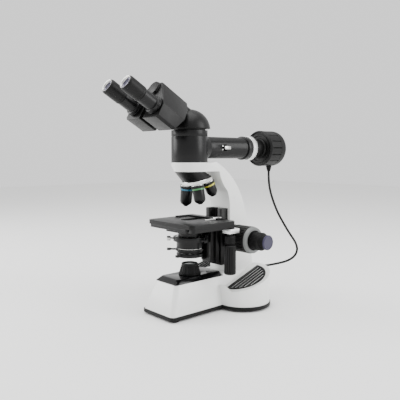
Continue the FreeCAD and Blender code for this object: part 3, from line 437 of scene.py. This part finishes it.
def build_condenser(sizes):
    eased("condenser_holder", "condenser_fork_ring", "black anodised", 0.8)
    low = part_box("condenser_body")[0].z / MM + 9
    barrel = ring([(8, low), (24, low), (25, low + 1), (25, low + 2), (24, low + 2.5), (24, low + 6.5),
                   (25, low + 7), (25, low + 7.6), (24.4, low + 8.2), (25, low + 8.8), (25, low + 21),
                   (25.7, low + 21), (25.7, low + 29), (25, low + 29.6), (22.6, low + 30), (22, low + 30.6),
                   (22, low + 38), (21.4, low + 38.5), (22, low + 39), (22, low + 40), (14.4, low + 43.2),
                   (14, low + 43.5), (10, low + 43.5), (10, low + 27), (8, low + 25)], 96)
    painted(barrel, 1, low + 29, low + 30.2)
    painted(barrel, 1, low + 6.6, low + 7.7)
    stud = moved(lathe([(0, low - 9), (2, low - 9), (2, low + 1), (0, low + 1)], 24),
                 Matrix.Translation((-20, 9, 0)))
    piece("condenser_barrel_rings", joined(barrel, stud), UPRIGHT, "condenser", ["black anodised", "steel"],
          "condenser_body")
    eased("centering_screw", "centring_screw_bare", "steel", 0.4)
    eased("condenser_focus_knob", "condenser_knob", "black plastic", 0.8)
    eased("iris_lever", "iris_lever_black", "black anodised", 0.5)
    eased("filter_holder", "swing_filter_ring", "black anodised", 0.7)


# ---------------------------------------------------------------- nosepiece and objectives

OBJECTIVES = (
    # node, position round the turret, body radius, length, tip radius, band finish
    ("objective_20x", 0, 11.0, 36, 3.0, "green band"),
    ("objective_40x", 1, 11.5, 41, 3.5, "blue band"),
    ("objective_5x", 2, 10.5, 34, 8.0, "red band"),
    ("objective_10x", 3, 10.5, 30, 5.0, "yellow band"),
)


def objective_place(index, sizes):
    """The shoulder of an objective on the tilted turret: its own Z points back up the barrel."""
    angle = math.radians(sizes.parked_angle - 90 * index)
    spin = Matrix.Rotation(angle, 4, "Z")
    seat = Matrix.Translation((0, -sizes.turret_circle, 0))
    return NOSEPIECE @ spin @ seat @ Matrix.Rotation(-NOSE_TILT, 4, "X")


def build_nosepiece(sizes):
    eased("nosepiece_mount", "nosepiece_skirt", "black enamel", 0.6)
    rim = 30
    turret = ring([(6.1, -3.3), (rim - 1.2, 2.2), (rim - 0.2, 3.0), (rim - 0.2, 3.4), (rim - 0.3, 3.5),
                   (rim - 0.3, 7.8), (rim - 0.2, 7.9), (rim - 0.2, 8.4), (rim - 0.8, 9), (6.1, 9)], 240)
    flutes(turret, 3.45, 7.85, 60, 0.8)
    painted(turret, 1, -10, 2.3)
    piece("knurled_turret", turret, NOSEPIECE, "nosepiece", ["chrome", "black anodised"],
          "nosepiece_turret")


def build_objectives(sizes):
    for node, index, radius, long, tip, band in OBJECTIVES:
        waist = radius + 0.6
        shape = lathe([(0, 4.5), (9.9, 4.5), (9.9, 0), (waist + 0.3, 0), (waist + 0.5, -0.4),
                       (waist + 0.5, -0.9), (waist + 0.4, -1), (waist + 0.4, -4.6), (waist + 0.5, -4.7),
                       (waist + 0.5, -5.2), (waist, -5.6), (waist, -6.2), (waist, -6.3), (waist, -9.1),
                       (waist, -9.2), (waist, -9.8), (radius, -10.2), (radius, 5.5 - long + 3),
                       (radius - 1.6, 2.5 + 5.5 - long - 3), ((radius + tip) / 2, 3.2 - long),
                       (tip + 0.9, 1 - long), (tip + 0.6, -long), (tip, -long), (tip - 0.4, 0.6 - long),
                       (0, 0.9 - long)], 96)
        flutes(shape, -4.65, -0.95, 48, 0.35)
        painted(shape, 1, -9.15, -6.25)
        painted(shape, 2, 0, 10)
        painted(shape, 2, -0.95, 0, waist - 1)
        painted(shape, 3, -long, 1 - long, -1, tip - 0.4)
        piece(f"{node}_barrel", shape, objective_place(index, sizes), "nosepiece",
              ["black anodised", band, "chrome", "lens"], node)


# ---------------------------------------------------------------- reflected light

def build_illuminator(sizes):
    eased("vertical_illuminator", "illuminator_body", "black anodised", 0.6, segments=2)
    eased("head_clamp_screw", "head_clamp_thumbscrew", "black plastic", 0.5)
    eased("lamp_tube", "lamp_tube_black", "black anodised", 0.5)
    eased("diaphragm_lever", "diaphragm_slider", "steel", 0.4)


def build_lamp_house(sizes):
    start = (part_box("lamp_coupling_ring")[0].y - AXIS.y) / MM
    end = (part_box("lamp_coupling_ring")[1].y - AXIS.y) / MM
    coupling = ring([(17, start), (24.4, start), (25, start + 0.6), (25, start + 5), (24.5, start + 5.5),
                     (25, start + 6), (25, end - 3.6), (23.4, end - 0.5), (22.6, end), (17, end)], 96)
    piece("bright_coupling_ring", coupling, ALONG_TUBE, "stand", "aluminium",
          "lamp_coupling_ring")
    house = (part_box("lamp_house")[1].x - AXIS.x) / MM
    far = (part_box("lamp_house")[1].y - AXIS.y) / MM
    face = 192
    rounding = 14
    back = [(house - 0.1 - rounding * (1 - math.cos(math.radians(a))),
             far - rounding * (1 - math.sin(math.radians(a)))) for a in range(10, 91, 10)]
    shell = lathe([(16, end), (19, end), (19, face - 1), (21, face + 1), (21.5, face + 3.5),
                   (26, face + 3.5), (26.5, face + 1.5), (30, face + 1.5), (30.5, face + 2.6),
                   (33.4, face + 2.6), (34, face), (35, face), (house, face + 3.5), (house, face + 6),
                   (house - 0.3, face + 6.2), (house - 0.3, face + 34.8), (house, face + 35),
                   (house, far - rounding)] + back + [(12, far), (11, far - 0.8), (0, far - 0.8)], 192)
    flutes(shell, face + 6.1, face + 34.9, 16, 1.6, 0.84)
    piece("slotted_lamp_house", shell, ALONG_TUBE, "stand", "black plastic", "lamp_house")


# ---------------------------------------------------------------- head

def build_head(sizes):
    eased("head_body", "swivel_head_dome", "black enamel", 0.8, angle=35)
    for side in ("right", "left"):
        eased(f"prism_housing_{side}", f"prism_case_{side}", "black enamel", 2.2,
              segments=4, angle=20)


def build_eyepieces(sizes):
    for side, sign in (("right", 1), ("left", -1)):
        axis = INCLINED @ Matrix.Translation((sign * 27.5, -38, 0))
        flange = ring([(11.7, 92.2), (15.2, 92.2), (16, 93), (16, 94.8), (15.8, 95), (15.8, 99.4),
                       (16, 99.6), (16, 100.2), (15, 101), (13.4, 101.2), (13, 101.8), (13, 125.8),
                       (12.4, 126.6), (11.7, 126.6)], 144)
        flutes(flange, 94.9, 99.5, 48, 0.5)
        piece(f"eyetube_with_ring_{side}", flange, axis, f"eye_{side}", "black anodised",
              f"eyetube_{side}")
        cup = lathe([(9, 98.1), (11.55, 98.1), (11.55, 127), (13.2, 127), (13.9, 127.7), (13.9, 131),
                     (13.5, 131.4), (13.5, 133), (13.9, 133.4), (13.9, 156.5), (13.6, 158), (12.6, 160.2),
                     (11.6, 161), (10.6, 160.8), (9.8, 159.4), (9.4, 158), (8.6, 157.4), (0, 157.9)], 96)
        painted(cup, 1, 157.2, 159.5, -1, 9.3)
        painted(cup, 2, 157.2, 161, 9.3, 11.2)
        piece(f"eyepiece_{side}_with_lens", cup, axis, f"eyepiece_{side}",
              ["black plastic", "lens", "steel"], f"eyepiece_{side}")


# ---------------------------------------------------------------- lamp lead

# Points of the lead's route in millimetres from the foot of the optical axis, from the gland under the lamp
# house round to the socket in the back of the base.
LEAD_ROUTE = (
    (0, 228, 260), (0, 228, 240), (7, 226, 216), (15, 228, 193), (25, 231, 170), (36, 238, 147),
    (45, 246, 127), (53, 256, 109), (56, 262, 92), (52, 258, 76), (43, 244, 66), (33, 224, 62),
    (25, 203, 60), (14, 181, 58), (14, 158, 58),
)


def build_lead(sizes):
    points = [Vector((AXIS.x, AXIS.y, 0)) + Vector(point) * MM for point in LEAD_ROUTE]
    curve = bpy.data.curves.new("lamp_lead_jacket", "CURVE")
    curve.dimensions = "3D"
    curve.bevel_depth = sizes.lead_diameter / 2
    curve.bevel_resolution = 6
    curve.resolution_u = 10
    spline = curve.splines.new("NURBS")
    spline.points.add(len(points) - 1)
    for target, point in zip(spline.points, points):
        target.co = (*point, 1)
    spline.order_u = 3
    spline.use_endpoint_u = True
    spline.use_smooth = True
    curve.materials.append(MATERIALS["cord jacket"])
    lead = bpy.data.objects.new("lamp_lead_jacket", curve)
    bpy.context.scene.collection.objects.link(lead)
    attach(lead, "stand")
    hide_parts("lamp_lead")
    eased("cord_gland", "lamp_gland", "rubber", 0.3)


# ---------------------------------------------------------------- stage of the picture

def build_studio(sizes):
    scene = bpy.context.scene
    camera = bpy.data.objects.new("camera", bpy.data.cameras.new("camera"))
    camera.data.lens = sizes.lens
    camera.data.sensor_width = 36
    camera.data.clip_start = 0.01
    camera.location = (AXIS.x + 0.6938, AXIS.y - 0.5983, 0.292)
    camera.rotation_euler = (sizes.camera_pitch, 0, sizes.camera_turn)
    scene.collection.objects.link(camera)
    scene.camera = camera
    mesh = bmesh.new()
    bmesh.ops.create_grid(mesh, x_segments=1, y_segments=1, size=4)
    data = bpy.data.meshes.new("floor")
    mesh.to_mesh(data)
    mesh.free()
    floor = bpy.data.objects.new("floor", data)
    data.materials.append(finish("matt_white_paper", "#F4F4F3", 0.8, 2.0, 0.002, drift=0.004))
    scene.collection.objects.link(floor)
    world = bpy.data.worlds.new("studio")
    scene.world = world
    world.use_nodes = True
    background = world.node_tree.nodes["Background"]
    background.inputs["Color"].default_value = (1, 1, 1, 1)
    background.inputs["Strength"].default_value = sizes.surround
    for name, spot, size, power in (
            ("soft_left", (-1.3, -1.0, 0.9), (0.9, 1.4), 26),
            ("soft_right", (1.5, 0.9, 0.9), (0.9, 1.4), 24),
            ("soft_top", (0.1, -0.2, 1.9), (1.6, 1.6), 30)):
        light = bpy.data.lights.new(name, "AREA")
        light.shape = "RECTANGLE"
        light.size, light.size_y = size
        light.energy = power
        lamp = bpy.data.objects.new(name, light)
        lamp.location = spot
        aim = Vector((0, 0, 0.22)) - Vector(spot)
        lamp.rotation_euler = aim.to_track_quat("-Z", "Y").to_euler()
        scene.collection.objects.link(lamp)


# ---------------------------------------------------------------- add-on

class MicroscopeSizes(bpy.types.PropertyGroup):
    """Sizes that a user would change."""
    collar_ribs: IntProperty(name="Field ring ribs", description="Ribs round the field ring", default=24)
    parked_angle: FloatProperty(name="Parked angle", default=48.0,
                                description="How far the turret stands from a click stop, in degrees")
    turret_circle: FloatProperty(name="Turret circle", default=20.0,
                                 description="Radius of the circle of objectives, in millimetres")
    lead_diameter: FloatProperty(name="Lead diameter", description="Thickness of the lamp lead",
                                 default=0.005, unit="LENGTH")
    lens: FloatProperty(name="Lens", description="Focal length of the camera", default=44.0)
    camera_pitch: FloatProperty(name="Camera pitch", description="Tilt of the camera from straight down",
                                default=math.radians(90 - 5.083), subtype="ANGLE")
    camera_turn: FloatProperty(name="Camera turn", description="Turn of the camera about the vertical",
                               default=math.radians(48), subtype="ANGLE")
    surround: FloatProperty(name="Surround", description="Brightness of the white room", default=1.2)


BUILDERS = (
    # operator name, label, function, what it builds
    ("studio", "Studio", build_studio, "Floor, soft lights and camera"),
    ("lead", "Lamp lead", build_lead, "Lead from the lamp house to the base"),
    ("base", "Base", build_base, "Base shell, trim, feet, panel and vents"),
    ("base_light", "Base light", build_base_light, "Ribbed field ring and its lens"),
    ("base_controls", "Base controls", build_base_controls, "Switch, inlet, socket and brightness knob"),
    ("arm", "Arm", build_arm, "Arm casting and focus guide"),
    ("focus_knobs", "Focus knobs", build_focus_knobs, "Coarse and fine knobs and tension ring"),
    ("stage_plates", "Stage", build_stage, "Stage plates, bracket and slide holder"),
    ("drop_knobs", "Drop knobs", build_drop_knobs, "Coaxial knobs of the stage"),
    ("condenser", "Condenser", build_condenser, "Condenser, its ring, screw and levers"),
    ("nosepiece", "Nosepiece", build_nosepiece, "Nosepiece skirt and turret"),
    ("objectives", "Objectives", build_objectives, "Four objectives"),
    ("illuminator", "Illuminator", build_illuminator, "Vertical illuminator and lamp tube"),
    ("lamp_house", "Lamp house", build_lamp_house, "Coupling ring and slotted lamp house"),
    ("head", "Head", build_head, "Swivelling head and prism cases"),
    ("eyepieces", "Eyepieces", build_eyepieces, "Eyetubes and eyepieces"),
)


def operator_class(name, label, builder, text):
    def execute(self, context):
        builder(context.scene.microscope)
        return {"FINISHED"}
    return type(f"MICROSCOPE_OT_{name}", (bpy.types.Operator,), {
        "__doc__": text, "bl_idname": f"microscope.{name}", "bl_label": label, "execute": execute})


class MICROSCOPE_PT_panel(bpy.types.Panel):
    """Lists the sizes and the pieces."""
    bl_label = "Microscope"
    bl_space_type = "VIEW_3D"
    bl_region_type = "UI"
    bl_category = "Microscope"

    def draw(self, context):
        for field in MicroscopeSizes.__annotations__:
            self.layout.prop(context.scene.microscope, field)
        for name, *_ in BUILDERS:
            self.layout.operator(f"microscope.{name}")


OPERATORS = [operator_class(*builder) for builder in BUILDERS]
CLASSES = [MicroscopeSizes, *OPERATORS, MICROSCOPE_PT_panel]


def register():
    for item in CLASSES:
        bpy.utils.register_class(item)
    bpy.types.Scene.microscope = PointerProperty(type=MicroscopeSizes)


def unregister():
    del bpy.types.Scene.microscope
    for item in reversed(CLASSES):
        bpy.utils.unregister_class(item)


def main():
    register()
    MATERIALS.update(make_materials())
    for name, *_ in BUILDERS:
        getattr(bpy.ops.microscope, name)()


if __name__ == "__main__":
    main()
